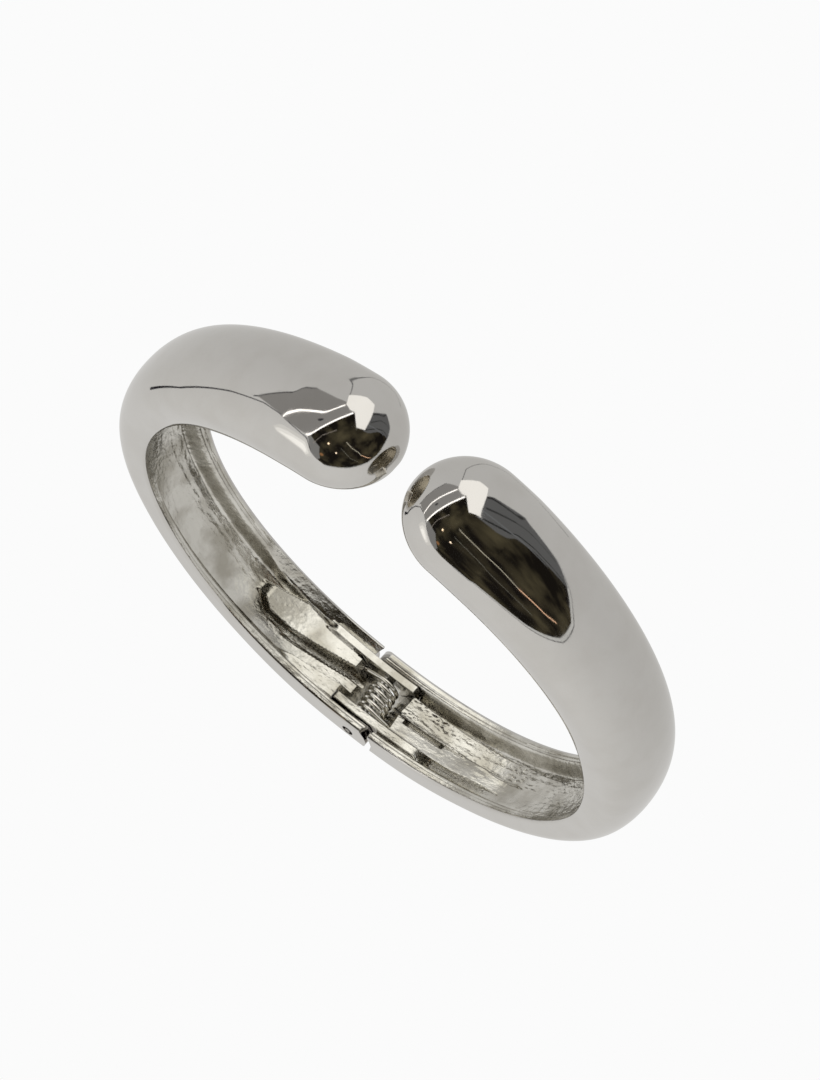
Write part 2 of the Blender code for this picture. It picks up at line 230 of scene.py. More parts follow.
def outer_half(sizes):
    """Depth and height of each section, from the edge of the inner face over one flank to the middle of the back."""
    thickness, half_width, inner_half, flank, power = [column[:, None] for column in sizes]
    thickness = thickness * SKIN_SHARE
    inner = np.minimum(inner_half, half_width - LIP)
    tall = flank * thickness
    turn = np.linspace(0, pi / 2, LIP_STEPS + FLANK_STEPS + 1)[None, :]
    round_depth = tall * (1 - np.cos(turn))
    round_height = inner + (half_width - inner) * np.sin(turn)
    lip = np.linspace(0, pi / 2, LIP_STEPS + 1)[None, :]
    climb = np.linspace(0, 1, FLANK_STEPS + 1)[None, 1:]
    flat_depth = np.concatenate([LIP * (1 - np.cos(lip)) + 0 * tall, LIP + (tall - LIP) * climb], 1)
    flat_height = np.concatenate([half_width - LIP * (1 - np.sin(lip)), half_width + 0 * climb], 1)
    share = smooth(0.25, 1.0, half_width - inner)
    depth = flat_depth + (round_depth - flat_depth) * share
    height = flat_height + (round_height - flat_height) * share
    over = np.linspace(0, pi / 2, BACK_STEPS + 1)[None, 1:]
    back_depth = tall + (1 - flank) * thickness * np.sin(over) ** (2 / power)
    back_height = half_width * np.clip(np.cos(over), 0, 1) ** (2 / power)
    return np.concatenate([depth, back_depth], 1), np.concatenate([height, back_height], 1)


def strip(height, low, high, soft):
    """1 between two heights and 0 outside them, with walls of a given width outside the edges."""
    return smooth(low - soft, low, height) * (1 - smooth(high, high + soft, height))


def edge(run, points):
    """Height of an edge that joins (run, height) points."""
    return np.interp(run, *zip(*points))


def channel_depth(run, height, walls, floors):
    """Depth of the as-cast hollow below the inner face, at distances along the arm and heights across it.

    walls are the widths of its two side walls, the lower one first.
    """
    deep = CHANNEL_DEPTH - DEPTH_LOSS * smooth(20, 55, run)
    half = CHANNEL_HALF - HALF_LOSS * smooth(25, 75, run)
    end = 1 - smooth(0, 3.0, run - CHANNEL_END + 2.5 * (height / half) ** 2)
    ledge = strip(height, -half, half, LEDGE_WIDTH * 0.35)
    inside = half - LEDGE_WIDTH
    hollow = smooth(-inside, walls[0] - inside, height) * (1 - smooth(inside - walls[1], inside, height))
    deep = deep + FLOOR_DROP - FLOOR_HOLLOW * height ** 2 * smooth(6, 14, run)
    depth = (LEDGE_DEPTH * ledge + (deep - LEDGE_DEPTH) * hollow) * end
    return floors(run, height, depth)


def raised(depth, floor, mask):
    """Depth with the floor brought to another level where the mask is 1."""
    return depth + (floor - depth) * mask


def inner_rib(run, height, depth):
    """The root of the inner lug, which carries on along the channel as a rib."""
    fade = 1 - smooth(7.6, 9.2, run + 0.25 * (height + 2.9) ** 2)
    return raised(depth, 0.06 + 0.05 * smooth(3, 8, run), strip(height, -3.38, -2.5, 0.2) * fade)


def right_floors(run, height, depth):
    """Spring seat of the right arm: a plateau with a groove along its upper edge, and a wedge above the groove."""
    low, high = edge(run, RIGHT_PLATEAU_LOW), edge(run, RIGHT_PLATEAU_HIGH)
    groove = strip(height, high + 0.3, high + 0.75, 0.35) * (1 - smooth(4, 13, run))
    depth = raised(depth, 3.0, groove)
    plateau = strip(height, low, high, 0.28) * (1 - smooth(15.6, 17.0, run))
    plateau_floor = 0.42 + 0.035 * run - 0.05 * (height + 1.1) * smooth(4, 9, run)
    depth = raised(depth, plateau_floor, plateau)
    wedge = strip(height, edge(run, RIGHT_WEDGE_LOW), 3.45, 0.25) * (1 - smooth(9.2, 11.8, run))
    depth = raised(depth, 0.4 + 0.05 * run - 0.04 * (height - 2.6), wedge)
    chamfer = 0.75 * np.clip(height + 4.5, 0, 1.2) * (height < -3.2) * (1 - smooth(14, 24, run))
    return inner_rib(run, height, np.maximum(depth, chamfer))


def left_floors(run, height, depth):
    """Spring seat of the left arm: a rough plateau, a fine ridge with a slot beside it, and a smooth ramp."""
    plateau = strip(height, 0.05, 2.5 - 0.02 * run, 0.3) * (1 - smooth(12, 27, run))
    depth = raised(depth, 0.55 + 0.075 * run - 0.07 * (height - 1.3), plateau)
    ramp = strip(height, edge(run, LEFT_RAMP_LOW), -0.1, 0.2) * (1 - smooth(13.5, 19.0, run))
    depth = raised(depth, 0.45 + 0.05 * run + 0.2 * (height + 1.4), ramp)
    slot = strip(height, -0.62, -0.22, 0.16) * smooth(4.2, 4.6, run) * (1 - smooth(8.6, 9.6, run))
    depth = raised(depth, 1.9, slot)
    ridge = strip(height, -0.16, 0.06, 0.12) * (1 - smooth(10.5, 12.5, run))
    depth = raised(depth, 0.3 + 0.06 * run, ridge)
    return inner_rib(run, height, depth)


def layered(along, across, seed, layers):
    """Sum of some layers of noise at a place on the skin."""
    total = 0
    for lengthwise, sideways, offset, weight in layers:
        total += weight * noise.noise(Vector((along * lengthwise, across * sideways, seed + offset)))
    return total


def cast_texture(run, height, depth, seed, rough):
    """Height of the rough skin of a casting: lengthwise flow marks, and grains that are coarser near the hinge.

    rough scales the grains of the lower and upper half near the hinge.  The steep walls are smooth.
    """
    bumps = np.zeros_like(depth)
    rows, columns = depth.shape
    for i in range(rows):
        along = run[i, 0]
        near = 1 - min(max((along - 9) / 16, 0), 1)
        for j in range(columns):
            across = height[i, j]
            scale = rough[0] + (rough[1] - rough[0]) * min(max(across * 2 + 1, 0), 1)
            grain = GRAIN_HEIGHT + (NEAR_GRAIN_HEIGHT * scale - GRAIN_HEIGHT) * near
            calm = 1 - near * (1 - min(scale, 1)) * 0.8
            patch = min(max((layered(along, across, seed, GRAIN_PATCHES) + 0.25) * 2.2, 0.12), 1)
            grains = layered(along, across, seed, GRAINS) * grain * patch
            bumps[i, j] = layered(along, across, seed, FLOW_MARKS) * calm + grains
    slope = np.abs(np.gradient(depth, axis=1) / np.gradient(height, axis=1))
    return bumps * smooth(0.25, 0.7, depth) * (1 - smooth(0.5, 1.2, slope))


def arc_lengths(angles):
    """Distance along the inner face from the hinge plane, at angles."""
    fine = np.linspace(HINGE_START_ANGLE, TIP_ANGLE, 4000)
    points, _ = oval(fine)
    steps = np.hypot(*np.diff(points, axis=0).T)
    along = np.concatenate([[0], np.cumsum(steps)])
    along -= np.interp(0, fine, along)
    return np.interp(angles, fine, along)


CHANNEL_END = float(arc_lengths(np.array([CHANNEL_END_ANGLE]))[0])


def arm_mesh(name, walls, floors, seed, rough):
    """Fine mesh of an uncut casting, made as the arm on the +X side, in metres from the oval's centre."""
    last = TIP_ANGLE - TIP_ROUNDING
    fine_angles = np.linspace(HINGE_START_ANGLE, FINE_END_ANGLE, FINE_STEPS, endpoint=False)
    run_angles = np.linspace(FINE_END_ANGLE, last, RUN_STEPS, endpoint=False)
    turns = pi / 2 * np.arange(ROUND_STEPS) / ROUND_STEPS
    angles = np.concatenate([fine_angles, run_angles, last + TIP_ROUNDING * np.sin(turns)])
    size = np.concatenate([np.ones(FINE_STEPS + RUN_STEPS), np.cos(turns)])[:, None]
    share = angles / TIP_ANGLE
    sizes = [ramp(k, share) for k in range(1, 6)]
    depth, height = outer_half(sizes)
    skin = 2 * depth.shape[1] - 1
    run = arc_lengths(angles)[:, None]
    across = np.linspace(1, -1, 2 * INNER_STEPS + 1)[None, :]
    inner = np.minimum(sizes[2], sizes[1] - LIP)[:, None]
    inner_height = across * inner
    run = run + 0 * inner_height
    inner_depth = channel_depth(run, inner_height, walls, floors)
    inner_depth = inner_depth + cast_texture(run, inner_height, inner_depth, seed, rough)
    depth = np.concatenate([depth, depth[:, -2::-1], inner_depth[:, -2:0:-1]], 1)
    height = np.concatenate([height, -height[:, -2::-1], inner_height[:, -2:0:-1]], 1)
    focus = TIP_FOCUS * sizes[0][:, None]
    depth = focus + (depth - focus) * size
    height = height * size
    foot, outward = oval(angles)
    x = foot[:, :1] + outward[:, :1] * depth
    y = foot[:, 1:] + outward[:, 1:] * depth
    verts = np.stack([x, y, height], 2)
    rings, count = verts.shape[:2]
    tip_foot, tip_out = oval(np.array([TIP_ANGLE]))
    pole = np.append(tip_foot[0] + tip_out[0] * TIP_FOCUS * ramp(1, np.array([1.0]))[0], 0)
    verts = np.concatenate([verts.reshape(-1, 3), pole[None]])
    row = np.arange(rings - 1)[:, None] * count
    column = np.arange(count)[None, :]
    a = (row + column).ravel()
    b = (row + (column + 1) % count).ravel()
    quads = np.stack([a, b, b + count, a + count], 1)
    ring = (rings - 1) * count + np.arange(count)
    fan = np.stack([ring, np.roll(ring, -1), np.full(count, len(verts) - 1)], 1)
    faces = quads.tolist() + fan.tolist() + [list(range(count))[::-1]]
    mesh = bpy.data.meshes.new(name)
    mesh.from_pydata((verts * MM).tolist(), [], faces)
    inner_side = (column + 0 * row >= skin - 1) & (row < count * np.searchsorted(angles, CAST_END_ANGLE))
    indices = np.full(len(faces), POLISHED, dtype=np.int32)
    indices[:len(quads)][inner_side.ravel()] = CAST
    mesh.polygons.foreach_set("material_index", indices)
    bm = bmesh.new()
    bm.from_mesh(mesh)
    bmesh.ops.recalc_face_normals(bm, faces=bm.faces)
    bm.to_mesh(mesh)
    bm.free()
    return mesh


def prism(bm, outline, bottom, top):
    """Upright prism over an outline of (x, y) points."""
    low = [bm.verts.new((x, y, bottom)) for x, y in outline]
    high = [bm.verts.new((x, y, top)) for x, y in outline]
    count = len(outline)
    for k in range(count):
        bm.faces.new((low[k], low[(k + 1) % count], high[(k + 1) % count], high[k]))
    bm.faces.new(low[::-1])
    bm.faces.new(high)


def rod(bm, start, direction, length, radius):
    """Round rod from a start point along a direction."""
    turn = Vector((0, 0, 1)).rotation_difference(direction).to_matrix().to_4x4()
    middle = Matrix.Translation(start + direction * length / 2)
    bmesh.ops.create_cone(bm, cap_ends=True, segments=ROD_SIDES, radius1=radius, radius2=radius, depth=length,
                          matrix=middle @ turn)


def hinge_room(radius, side):
    """Outline of all that is on the -X side of the hinge plane, with an arc about the pin that bulges to a side."""
    turns = [pi * k / ARC_STEPS for k in range(ARC_STEPS + 1)]
    arc = [(side * radius * sin(turn), WRIST_BACK + PIN_DEPTH + radius * cos(turn)) for turn in turns]
    near = WRIST_BACK - HINGE_REACH
    far = WRIST_BACK + HINGE_REACH + PIN_DEPTH
    return arc + [(0, near), (-HINGE_REACH, near), (-HINGE_REACH, far), (0, far)]


def leg_line(shift):
    """Start and direction of the spring's leg in the +X arm, for a coil that sits a little to one side."""
    slope = radians(LEG_SLOPE)
    middle = Vector((shift - COIL_HALF_LENGTH * COIL_LEAN, WRIST_BACK + PIN_DEPTH, -COIL_HALF_LENGTH))
    start = middle + COIL_RADIUS * Vector((sin(slope), -cos(slope), 0))
    return start, Vector((cos(slope), sin(slope), 0))


def placed(bm, verts, origin, axes, sizes):
    """Scales, turns and moves vertices that were made round the origin."""
    turn = Matrix(axes).transposed().to_4x4()
    bmesh.ops.scale(bm, vec=sizes, verts=verts)
    bmesh.ops.transform(bm, matrix=Matrix.Translation(origin) @ turn, verts=verts)


def oval_pocket(bm, mouth, normal, half_width):
    """Oval blind pocket square to the surface."""
    along = (Vector((0, 0, 1)) - normal * normal.z).normalized()
    cone = bmesh.ops.create_cone(bm, cap_ends=True, segments=SOCKET_SIDES, radius1=SOCKET_TAPER, radius2=1, depth=1)
    length = SOCKET_DEPTH + CUTTER_RISE
    origin = mouth + normal * (length / 2 - SOCKET_DEPTH)
    sizes = (SOCKET_HALF_LENGTH, half_width, length)
    placed(bm, cone["verts"], origin, (along, normal.cross(along), normal), sizes)


def notch(bm, mouth, normal, side):
    """Shallow notch from the pocket towards the wrist."""
    along = (Vector((0, 0, 1)) - normal * normal.z).normalized()
    wrist = along.cross(normal)
    wrist = -wrist if wrist.y < 0 else wrist
    verts = bmesh.ops.create_cube(bm, size=1)["verts"]
    origin = mouth + along * NOTCH_SHIFT * side + wrist * (NOTCH_LENGTH / 2)
    origin += normal * (NOTCH_HEIGHT / 2 - NOTCH_DEPTH)
    placed(bm, verts, origin, (along, wrist, along.cross(wrist)), (2 * NOTCH_HALF_WIDTH, NOTCH_LENGTH, NOTCH_HEIGHT))


def empty_slots(mesh):
    """Gives a mesh an arm's three material slots, so that the cut keeps which is which."""
    for _ in (POLISHED, CAST, BORED):
        mesh.materials.append(None)


def arm_cutters(socket, shift):
    """Meshes to take away from the arm on the +X side."""
    inner_room = INNER_LUG_FROM - LUG_GAP
    near, far = WRIST_BACK - HINGE_REACH, WRIST_BACK + HINGE_REACH
    spread = (POCKET_INNER - POCKET_OUTER) / STATIONS[0][1] * HINGE_REACH
    pocket = [(POCKET_INNER + spread, near), (POCKET_INNER - spread, far), (-HINGE_REACH, far), (-HINGE_REACH, near)]
    mouth, normal, half_width, side = Vector(socket[0]), Vector(socket[1]).normalized(), socket[2], socket[3]
    leg_start, leg_direction = leg_line(shift)
    leg_length = LEG_END / leg_direction.x + LEG_ROOM
    shapes = (
        (prism, hinge_room(INNER_LUG_RADIUS + LUG_GAP, 1), inner_room, OUTER_LUG_FROM),
        (prism, pocket, -INNER_LUG_FROM, inner_room + LUG_GAP),
        (prism, hinge_room(OUTER_ROOM_RADIUS, 1), -CUT_END, -INNER_LUG_TO),
        (prism, hinge_room(OUTER_LUG_RADIUS, -1), OUTER_LUG_FROM - LUG_GAP, CUT_END),
        (prism, hinge_room(INNER_LUG_RADIUS, -1), -INNER_LUG_TO - LUG_GAP, -INNER_LUG_FROM + LUG_GAP),
        (rod, Vector((0, WRIST_BACK + PIN_DEPTH, -CUT_END)), Vector((0, 0, 1)), 2 * CUT_END, BORE_RADIUS),
        (rod, leg_start, leg_direction, leg_length, WIRE_RADIUS + WIRE_GAP),
        (oval_pocket, mouth, normal, half_width),
        (notch, mouth, normal, side),
    )
    meshes = []
    for shape, *sizes in shapes:
        bm = bmesh.new()
        shape(bm, *sizes)
        bmesh.ops.recalc_face_normals(bm, faces=bm.faces)
        bmesh.ops.scale(bm, vec=(MM, MM, MM), verts=bm.verts)
        slot = BORED if shape in (oval_pocket, notch) else CAST if sizes[0] is pocket else POLISHED
        for face in bm.faces:
            face.material_index = slot
        mesh = bpy.data.meshes.new("cutter")
        bm.to_mesh(mesh)
        bm.free()
        empty_slots(mesh)
        meshes.append(mesh)
    return meshes


def make_arm(name, body, walls, floors, seed, rough, socket, turned):
    """One casting, cut for its hinge and socket, in its place."""
    mesh = arm_mesh(name + "_blank", walls, floors, seed, rough)
    empty_slots(mesh)
    blank = add_object(name + "_blank", mesh)
    cutters = bpy.data.collections.new(name + "_cutters")
    bpy.context.scene.collection.children.link(cutters)
    for cutter_mesh in arm_cutters(socket, -COIL_SHIFT if turned else COIL_SHIFT):
        cutters.objects.link(bpy.data.objects.new("cutter", cutter_mesh))
    cut = blank.modifiers.new("cuts", "BOOLEAN")
    cut.operation = "DIFFERENCE"
    cut.solver = "MANIFOLD"
    cut.operand_type = "COLLECTION"
    cut.collection = cutters
    depsgraph = bpy.context.evaluated_depsgraph_get()
    mesh = bpy.data.meshes.new_from_object(blank.evaluated_get(depsgraph))
    for cutter in list(cutters.objects):
        bpy.data.objects.remove(cutter, do_unlink=True)
    bpy.data.collections.remove(cutters)
    bpy.data.objects.remove(blank, do_unlink=True)
    mesh.name = name
    if turned:
        mesh.transform(Matrix.Rotation(pi, 4, "Y"))
    mesh.transform(Matrix.Translation(RING_CENTRE))
    obj = add_object(name, mesh)
    mesh.shade_smooth()
    mesh.set_sharp_from_angle(angle=radians(ARM_SHARP_ANGLE))
    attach(obj, body)
    return obj


# ---------------------------------------------------------------- pin and spring

def tube_mesh(name, route, radii, sides):
    """Closed tube along a route of points, with a radius at each."""
    points = [Vector(point) for point in route]
    verts, faces = [], []
    across = None
    for k, point in enumerate(points):
        ahead = points[min(k + 1, len(points) - 1)] - points[max(k - 1, 0)]
        ahead.normalize()
        if across is None:
            across = ahead.orthogonal().normalized()
        across = (across - ahead * across.dot(ahead)).normalized()
        up = ahead.cross(across)
        for s in range(sides):
            turn = 2 * pi * s / sides
            verts.append(point + (across * cos(turn) + up * sin(turn)) * radii[k])
    for k in range(len(points) - 1):
        for s in range(sides):
            a, b = k * sides + s, k * sides + (s + 1) % sides
            faces.append((a, b, b + sides, a + sides))
    faces.append(tuple(range(sides))[::-1])
    faces.append(tuple(range(len(verts) - sides, len(verts))))
    mesh = bpy.data.meshes.new(name)
    mesh.from_pydata([point * MM for point in verts], [], faces)
    mesh.transform(Matrix.Translation(HINGE))
    mesh.shade_smooth()
    mesh.set_sharp_from_angle(angle=radians(TUBE_SHARP_ANGLE))
    return add_object(name, mesh)


def make_pin():
    """Hinge pin with slightly domed, staked ends."""
    half, radius = PIN_HALF_LENGTH, PIN_RADIUS
    turns = [pi / 2 * k / PIN_CROWN_STEPS for k in range(1, PIN_CROWN_STEPS + 1)]
    end = [(0, 0, half - PIN_CROWN * (1 - cos(turn))) for turn in turns] + [(0, 0, half - 0.4)]
    sizes = [radius * sin(turn) * 0.98 for turn in turns] + [radius]
    shank = [(0, 0, z * 0.2) for z in range(20, -21, -2)]
    route = end + shank + [(0, 0, -z) for _, _, z in reversed(end)]
    radii = sizes + [radius] * len(shank) + sizes[::-1]
    return tube_mesh("pin_rod", route, radii, PIN_SIDES)


def make_spring():
    """Torsion spring: a close coil about the pin with a straight leg at each end, one closed wire."""
    slope = radians(LEG_SLOPE)
    first = -pi / 2 - slope
    sweep = 2 * slope + 2 * pi * COIL_TURNS
    count = STEPS_A_TURN * COIL_TURNS
    coil = []
    for k in range(count + 1):
        turn = first + sweep * k / count
        z = COIL_HALF_LENGTH * (1 - 2 * k / count)
        coil.append(Vector((COIL_SHIFT + COIL_RADIUS * cos(turn) + COIL_LEAN * z, COIL_RADIUS * sin(turn), z)))
    legs = []
    for start, side in ((coil[-1], 1), (coil[0], -1)):
        reach = Vector((side * cos(slope), sin(slope), 0))
        length = (LEG_END - side * start.x) / cos(slope)
        legs.append([start + reach * length * k / LEG_STEPS for k in range(1, LEG_STEPS + 1)])
    route = legs[1][::-1] + coil + legs[0]
    return tube_mesh("spring_coil", route, [WIRE_RADIUS] * len(route), WIRE_SIDES)


# ---------------------------------------------------------------- materials

def noise_node(tree, vector, scale, detail, stretch=(1, 1, 1)):
    """Noise over the object's own space, stretched along its axes; scale is in features per metre."""
    spread = tree.nodes.new("ShaderNodeMapping")
    spread.inputs["Scale"].default_value = stretch
    tree.links.new(vector, spread.inputs["Vector"])
    texture = tree.nodes.new("ShaderNodeTexNoise")
    texture.inputs["Scale"].default_value = scale
    texture.inputs["Detail"].default_value = detail
    tree.links.new(spread.outputs["Vector"], texture.inputs["Vector"])
    return texture.outputs["Fac"]


def remap(tree, value, low, high, to_low, to_high):
    """Takes a value from one range to another, held at its ends."""
    node = tree.nodes.new("ShaderNodeMapRange")
    for socket, number in zip(("From Min", "From Max", "To Min", "To Max"), (low, high, to_low, to_high)):
        node.inputs[socket].default_value = number
    tree.links.new(value, node.inputs["Value"])
    return node.outputs[0]


def plated(name, colour, stain, roughness, grains, edge):
    """Plated metal: tone and gloss vary in soft patches, edges are rounded, and grains roughen the surface.

    colour and stain are the two ends of the tone, roughness its lowest and highest value, and each row of grains is
    (features per metre, detail, depth in metres, stretch along x, y and z).
    """
    material = bpy.data.materials.new(name)
    material.use_nodes = True
    tree = material.node_tree
    shader = tree.nodes["Principled BSDF"]
    shader.inputs["Metallic"].default_value = 1.0
    space = tree.nodes.new("ShaderNodeTexCoord").outputs["Object"]
    tone = tree.nodes.new("ShaderNodeValToRGB")
    tone.color_ramp.elements[0].position = 0.36
    tone.color_ramp.elements[0].color = (*stain, 1)
    tone.color_ramp.elements[1].position = 0.58
    tone.color_ramp.elements[1].color = (*colour, 1)
    tree.links.new(noise_node(tree, space, 260, 5), tone.inputs["Fac"])
    tree.links.new(tone.outputs["Color"], shader.inputs["Base Color"])
    gloss = remap(tree, noise_node(tree, space, 900, 6), 0.35, 0.7, *roughness)
    tree.links.new(gloss, shader.inputs["Roughness"])
    bevel = tree.nodes.new("ShaderNodeBevel")
    bevel.samples = 4
    bevel.inputs["Radius"].default_value = edge
    normal = bevel.outputs["Normal"]
    for scale, detail, depth, stretch in grains:
        bump = tree.nodes.new("ShaderNodeBump")
        bump.inputs["Strength"].default_value = 1
        bump.inputs["Distance"].default_value = depth
        tree.links.new(noise_node(tree, space, scale, detail, stretch), bump.inputs["Height"])
        tree.links.new(normal, bump.inputs["Normal"])
        normal = bump.outputs["Normal"]
    tree.links.new(normal, shader.inputs["Normal"])
    return material


# ---------------------------------------------------------------- stage

# Where the photographer stood: degrees, and millimetres from the ring's centre.
CAMERA_AZIMUTH = -12.99
CAMERA_ELEVATION = 20.51
CAMERA_DISTANCE = 271.0
CAMERA_ROLL = 138.32
CAMERA_AIM = Vector((1.64, -2.45, -5.2))
CAMERA_LENS = 90.2
CAMERA_SENSOR = 36


def make_camera():
    """The photograph's camera, turned about its view as the photograph was."""
    azimuth, elevation = radians(CAMERA_AZIMUTH), radians(CAMERA_ELEVATION)
    back = Vector((sin(azimuth) * cos(elevation), -cos(azimuth) * cos(elevation), sin(elevation)))
    data = bpy.data.cameras.new("camera")
    data.lens = CAMERA_LENS
    data.sensor_width = CAMERA_SENSOR
    data.clip_start = 0.01
    camera = add_object("camera", data)
    camera.location = RING_CENTRE + (CAMERA_AIM + back * CAMERA_DISTANCE) * MM
    upright = (-back).to_track_quat("-Z", "Y")
    camera.rotation_mode = "QUATERNION"
    camera.rotation_quaternion = upright @ Quaternion((0, 0, 1), -radians(CAMERA_ROLL))
    bpy.context.scene.camera = camera


# Levels of light: what the camera sees of the paper, and what the metal sees of the paper and of the soft light.
PAPER_WHITE = 0.965
PAPER_LIGHT = 0.70
SKY_LOW = 0.68
SKY_HIGH = 0.86
# Radius of the paper in metres.
FLOOR_RADIUS = 4
FLOOR_SIDES = 96

# Cards around the camera stand in for the studio that the metal mirrors.  They lie in planes square to the view,
# about this far from the bracelet, and the camera doesn't see them.  Outlines are (right, up) in that plane, and each
# line is its points, its width, its colour where it has its own, and its level of light.
CARD_DISTANCE = 350.0
ROOM_OUTLINE = ((-385, 150), (-380, -100), (-250, -322), (60, -322), (297, -254), (486, -135), (647, 67), (816, 290),
                (791, 649), (550, 530), (298, 430), (75, 392))
CEILING_OUTLINE = ((-1222, 933), (-310, 1116), (28, 572), (75, 398), (-385, 156), (-522, 290))
LAMP_LINES = (
    (((-522, 300), (-362, 436), (-25, 560)), 27, 2.6),
    (((-386, 160), (-150, 275), (60, 386)), 19, 2.6),
)
ROOM_LINES = (
    (((20, 70), (70, 5), (126, -41), (160, -84)), 5, (0.75, 0.70, 0.55), 1.0),
    (((160, -84), (196, -104), (250, -140), (311, -158)), 7, (1.0, 0.62, 0.40), 1.3),
    (((-20, 10), (60, -110), (150, -190)), 2.5, (0.5, 0.5, 0.42), 0.6),
    (((150, 250), (330, 180), (480, 120)), 8, (0.42, 0.44, 0.46), 0.5),
    (((-300, 60), (-180, 150), (-60, 190)), 5, (0.9, 0.8, 0.7), 0.5),
)
CEILING_EDGE = ((-1400, 1000), (-1222, 933), (-700, 1040), (-310, 1116))
CEILING_EDGE_WIDTH = 60
FRAME_WIDTH = 22
FRAME_LINE_WIDTH = 6
FRAME_LINE_SPREAD = 1.035
VENT = ((-237, 360), 27, 18)
SPOT_SIDES = 16
SOFT_BOX_MIDDLE = (-590, -45)
SOFT_BOX_SPREADS = (1.0, 0.72, 0.45)
SOFT_BOX_OUTLINE = ((-940, 150), (-560, 175), (-415, 110), (-400, -60), (-420, -170), (-640, -270))
KEY_OUTLINE = ((-20, 575), (30, 432), (72, 395), (92, 205), (168, 180), (298, 430), (420, 700), (350, 1000),
               (0, 1000))
LENS_OUTLINE = ((150, 175), (202, 151), (322, 161), (433, 156), (540, 110), (647, 67), (816, 290), (791, 649),
                (550, 530), (298, 425))
SILVER_OUTLINE = ((-385, 150), (-345, 172), (-215, 20), (-255, -160), (-330, -210), (-380, -100))
LENS_LINES = (
    (((168, 182), (320, 196), (450, 185), (560, 140), (640, 90)), 9, 0.02),
    (((230, 260), (420, 330), (600, 320), (740, 240)), 12, 0.05),
    (((290, 400), (420, 440), (560, 470), (700, 560)), 26, 0.04),
)
# Reflector under the ring, upright, at this place along Y and between these heights.
LOW_CARD_Y = -12.0
LOW_CARD_TOP = -6.3
LOW_CARD_FOOT = -34.0
# Name, ends along X and level of light.
LOW_CARDS = (("reflector_near", -7, 48, 1.45), ("reflector_far", -38, -7, 0.85))
KEY_LEVEL = 1.35
SILVER_LEVEL = 0.28
LENS_LEVEL = 0.15
SOFT_BOX_LEVELS = (0.95, 1.2, 1.45)
# Seams of the light tent, drawn on a far dome as directions from a place next to the right arm's tip.
DOME_RADIUS = 1200.0
DOME_MIDDLE = (6, -31, 0)
TENT_SEAM = ((0.80, 0.59, 0.16), (0.90, 0.31, 0.29), (0.96, -0.17, 0.23), (0.88, -0.41, 0.23), (0.74, -0.57, 0.36),
             (0.60, -0.60, 0.53), (0.31, -0.45, 0.84))
TENT_SEAM_WIDTHS = (70, 44, 30, 24, 20, 22, 30)
LENS_SEAM = ((0.42, -0.81, -0.40), (0.50, -0.60, -0.62), (0.55, -0.35, -0.76), (0.37, 0.11, -0.92),
             (0.05, 0.41, -0.91), (-0.20, 0.25, -0.95))
LENS_SEAM_WIDTH = 16
LAMP_SPOTS = (
    ((-120, 60), 9, (1.0, 0.75, 0.5), 3.0),
    ((-60, -40), 7, (1.0, 0.8, 0.6), 3.0),
    ((-210, -80), 22, (0.9, 0.45, 0.2), 0.4),
)


def light_material(name, colour, strength):
    """Plain glow of one colour."""
    material = bpy.data.materials.new(name)
    material.use_nodes = True
    nodes = material.node_tree.nodes
    nodes.clear()
    light = nodes.new("ShaderNodeEmission")
    light.inputs["Color"].default_value = (*colour, 1)
    light.inputs["Strength"].default_value = strength
    out = nodes.new("ShaderNodeOutputMaterial")
    out.name = "Material Output"
    material.node_tree.links.new(light.outputs[0], out.inputs[0])
    return material


def mirrored_mesh(name, places, faces, material):
    """Part of the stage that is seen only in reflections."""
    mesh = bpy.data.meshes.new(name)
    mesh.from_pydata(places, [], faces)
    mesh.materials.append(material)
    obj = add_object(name, mesh)
    obj.visible_camera = False
    obj.visible_diffuse = False
    obj.visible_shadow = False


def card(name, points, nearer, material):
    """Flat card square to the view, a little nearer than the card plane so that it covers the cards behind it."""
    turn = bpy.context.scene.camera.rotation_quaternion.to_matrix()
    right, up, back = turn.col[0], turn.col[1], turn.col[2]
    places = [RING_CENTRE + (right * x + up * y + back * (CARD_DISTANCE - nearer)) * MM for x, y in points]
    mirrored_mesh(name, places, [tuple(range(len(places)))], material)


def low_card(name, left, right, level):
    """Upright card under the ring, lit on its +Y face only: the inner faces near the hinge reflect it."""
    places = [RING_CENTRE + Vector((x, LOW_CARD_Y, z)) * MM for x, z in (
        (left, LOW_CARD_TOP), (right, LOW_CARD_TOP), (right, LOW_CARD_FOOT), (left, LOW_CARD_FOOT))]
    material = light_material(name, (1.0, 0.985, 0.93), level)
    tree = material.node_tree
    side = tree.nodes.new("ShaderNodeNewGeometry").outputs["Backfacing"]
    mix = tree.nodes.new("ShaderNodeMixShader")
    tree.links.new(side, mix.inputs[0])
    tree.links.new(tree.nodes["Emission"].outputs[0], mix.inputs[1])
    tree.links.new(tree.nodes.new("ShaderNodeBsdfTransparent").outputs[0], mix.inputs[2])
    tree.links.new(mix.outputs[0], tree.nodes["Material Output"].inputs[0])
    mirrored_mesh(name, places, [(0, 1, 2, 3)], material)


def ellipse(middle, across, up):
    """Outline of a small ellipse."""
    turns = [2 * pi * k / SPOT_SIDES for k in range(SPOT_SIDES)]
    return [(middle[0] + across * cos(turn), middle[1] + up * sin(turn)) for turn in turns]


def ribbon(points, width):
    """Outline of a strip of even width along a line of points."""
    places = [Vector(point) for point in points]
    sides = []
    for k, place in enumerate(places):
        ahead = (places[min(k + 1, len(places) - 1)] - places[max(k - 1, 0)]).normalized()
        sides.append(Vector((-ahead.y, ahead.x)) * width / 2)
    left = [place + side for place, side in zip(places, sides)]
    right = [place - side for place, side in zip(places, sides)]
    return [(p.x, p.y) for p in left + right[::-1]]


